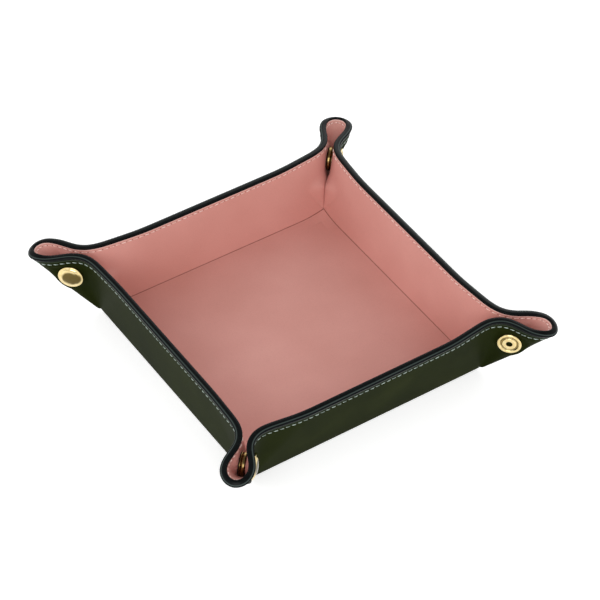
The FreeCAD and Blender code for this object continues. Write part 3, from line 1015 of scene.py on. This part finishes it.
# painted shade and reflection: the cap's middle, the eyelet's groove and bore, the discs' outer
# rims
paintedDark = {
    "cap": {"middle": (0.2, 0.7), "stretch": (0.82, 1.05), "radius": 4.0, "fade": 0.9,
            "above": 4.5, "most": 0.93},
    "eyelet": {"groove": 3.87, "grooveWide": 0.34, "bore": 1.5, "above": 4.0},
    "disc": {"above": 0.75, "fade": 0.5, "most": 0.95},
}
lathe = {"steps": 72, "axis": (0, 0, 1), "smoothAngle": 40.0, "joined": 0.002, "least": 0.001}


def shadeAndReflectionOf(kind, spots):
    # how strongly each point of a snap piece carries painted shade and reflection, by its place in
    # mm
    radius, height = np.hypot(spots[:, 0], spots[:, 1]), spots[:, 2]
    where = paintedDark.get(kind, paintedDark["disc"])
    # the cap's dark middle is a painted dark reflection
    if kind == "cap":
        off = np.hypot(*((spots[:, :2] - where["middle"]) / where["stretch"]).T)
        darkened = 1 - smooth((off - where["radius"]) / where["fade"])
        return where["most"] * darkened * (height > where["above"])
    # painted shade in the eyelet's groove and its bore
    if kind == "eyelet":
        groove = bell(radius - where["groove"], where["grooveWide"])
        return np.maximum(groove, radius < where["bore"]) * (height > where["above"])
    # the discs darker towards their outer faces: a painted dark reflection that leaves a highlight
    # band where they meet
    return where["most"] * smooth((height - where["above"]) / where["fade"])


def turned(kind, profile, material):
    # spun round its axis in edit mode, as on a lathe
    bpy.ops.object.select_all(action="DESELECT")
    points = [(r * mm, 0.0, z * mm) for r, z in profile["face"] + profile["back"]]
    edges = [(i, i + 1) for i in range(len(points) - 1)]
    if points[0][0] > 0:
        edges.append((len(points) - 1, 0))
    mesh = bpy.data.meshes.new(kind)
    mesh.from_pydata(points, edges, [])
    piece = linked(kind, mesh)
    bpy.context.view_layer.objects.active = piece
    piece.select_set(True)
    bpy.ops.object.mode_set(mode="EDIT")
    bpy.ops.mesh.select_all(action="SELECT")
    bpy.ops.mesh.spin(steps=lathe["steps"], angle=2 * math.pi, center=(0, 0, 0), axis=lathe["axis"])
    bpy.ops.mesh.select_all(action="SELECT")
    bpy.ops.mesh.remove_doubles(threshold=lathe["joined"] * mm)
    bpy.ops.mesh.dissolve_degenerate(threshold=lathe["least"] * mm)
    bpy.ops.mesh.select_all(action="SELECT")
    bpy.ops.mesh.normals_make_consistent(inside=False)
    bpy.ops.object.mode_set(mode="OBJECT")
    bpy.ops.object.shade_smooth_by_angle(angle=math.radians(lathe["smoothAngle"]))
    mesh.materials.append(material)
    setMarks(mesh, "paintedShadeAndReflection", shadeAndReflectionOf(kind, np.array([v.co[:] for v in mesh.vertices]) / mm))
    return piece


def snapPlace(wallName, end):
    # the snap's axis crosses the diagonal plane and points out of the pleat
    out, up = centres[wallName, end]
    spot = outward * out + upward * up
    origin = toTray(wallName, end, spot)
    axis = (toTray(wallName, end, spot + sideways) - origin) / mm
    third = np.cross(upward, axis)
    place = np.eye(4)
    place[:3] = np.array([np.cross(axis, third), third, axis, origin]).T
    return Matrix(place.tolist())


def buildSnaps():
    models = {
        "Cap": (turned("cap", cap, goldBrass), "cap", "_snap_cap"),
        "Socket": (turned("socket", socket, darkBronze), "cap", "_snap_socket"),
        "Stud": (turned("stud", stud, darkBronze), "stud", "_snap_stud"),
        "Eyelet": (turned("eyelet", eyelet, goldBrass), "stud", "_snap_stud"),
    }
    for wallName in walls:
        for kind, (model, end, node) in models.items():
            piece = linked(wallName + "Snap" + kind, model.data.copy())
            piece.data.transform(snapPlace(wallName, end))
            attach(piece, "_".join([wallName, end, "pleat"]))
            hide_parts(wallName + node)
    for model, *rest in models.values():
        bpy.data.objects.remove(model)


buildSnaps()
for nodeName in ["base_board"] + [wallName + "_wall_board" for wallName in walls]:
    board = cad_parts[nodeName]
    board.data.materials.clear()
    board.data.materials.append(greyBoard)
print("snaps turned")


# the photograph's view: angles in degrees and the lens's small turns in radians, lengths in mm
view = {
    "azimuth": 55.2305, "elevation": 44.7134, "roll": 0.0255656, "yaw": -0.00366820,
    "pitch": -0.00607152, "distance": 1312.04, "target": (0.0, 0.0, 15.0),
    "focalPixels": 2784.0, "frame": 600, "sensor": 36.0, "clip": (0.05, 20.0),
}


def addCamera():
    a, e = math.radians(view["azimuth"]), math.radians(view["elevation"])
    back = Vector((math.sin(a) * math.cos(e), -math.cos(a) * math.cos(e), math.sin(e)))
    right = (-back).cross(Vector((0, 0, 1))).normalized()
    axes = Matrix((right, right.cross(back), -back))
    for key, axis in (("yaw", "Y"), ("pitch", "X"), ("roll", "Z")):
        axes = Matrix.Rotation(view[key], 3, axis) @ axes
    data = bpy.data.cameras.new("camera")
    data.sensor_width = view["sensor"]
    data.lens = view["focalPixels"] / view["frame"] * view["sensor"]
    data.clip_start, data.clip_end = view["clip"]
    world = Matrix((axes[0], -axes[1], -axes[2])).transposed().to_4x4()
    world.translation = (Vector(view["target"]) + back * view["distance"]) * mm
    camera = linked("camera", data)
    camera.matrix_world = world
    bpy.context.scene.camera = camera


addCamera()


# the sky is a ramp from below the tray to above it, so that no horizon shows in the leather
studio = {
    "floor": "#f4f4f4",
    "floorSize": 6,
    "floorGlow": 0.5,
    "sky": [(0.0, 0.9), (0.1, 0.9), (0.15, 0.6), (0.3, 1.0), (0.5, 0.95), (0.7, 0.55), (1.0, 0.25)],
    "skyStrength": 1.2,
    "lights": {
        "key": {"place": (-0.8, 0.9, 0.7), "size": 0.9, "power": 3.0},
        "fill": {"place": (0.9, -0.8, 0.8), "size": 0.8, "power": 6.0},
        "side": {"place": (-0.6, -1.0, 0.6), "size": 0.8, "power": 1.0},
    },
}


def addLight(name, look):
    data = bpy.data.lights.new(name, "AREA")
    data.shape = "SQUARE"
    data.size = look["size"]
    data.energy = look["power"]
    light = linked(name, data)
    light.location = look["place"]
    light.rotation_euler = (-Vector(look["place"])).to_track_quat("-Z", "Y").to_euler()


def addStudio():
    bpy.ops.mesh.primitive_plane_add(size=studio["floorSize"], location=(0, 0, 0))
    floor = bpy.context.object
    floor.name = "floor"
    material, tree, place = startMaterial("white paper floor")
    # paper that glows a little, as the photograph's cut-out ground has next to no shadow
    finishMaterial(tree, {"Base Color": toLinear(studio["floor"]), "Roughness": 0.9,
                          "Emission Color": (1, 1, 1, 1),
                          "Emission Strength": studio["floorGlow"]}, {})
    floor.data.materials.append(material)
    world = bpy.data.worlds.new("studio")
    world.use_nodes = True
    tree = world.node_tree
    ways = addNode(tree, "ShaderNodeTexCoord")
    height = addNode(tree, "ShaderNodeSeparateXYZ", links={"Vector": ways.outputs["Generated"]})
    sky = addNode(tree, "ShaderNodeValToRGB", links={"Fac": height.outputs["Z"]},
                  stops=studio["sky"])
    background = tree.nodes["Background"]
    tree.links.new(sky.outputs["Color"], background.inputs["Color"])
    background.inputs["Strength"].default_value = studio["skyStrength"]
    bpy.context.scene.world = world
    for name, look in studio["lights"].items():
        addLight(name, look)


addStudio()
bpy.context.scene.view_settings.view_transform = "Standard"
print("studio lit")
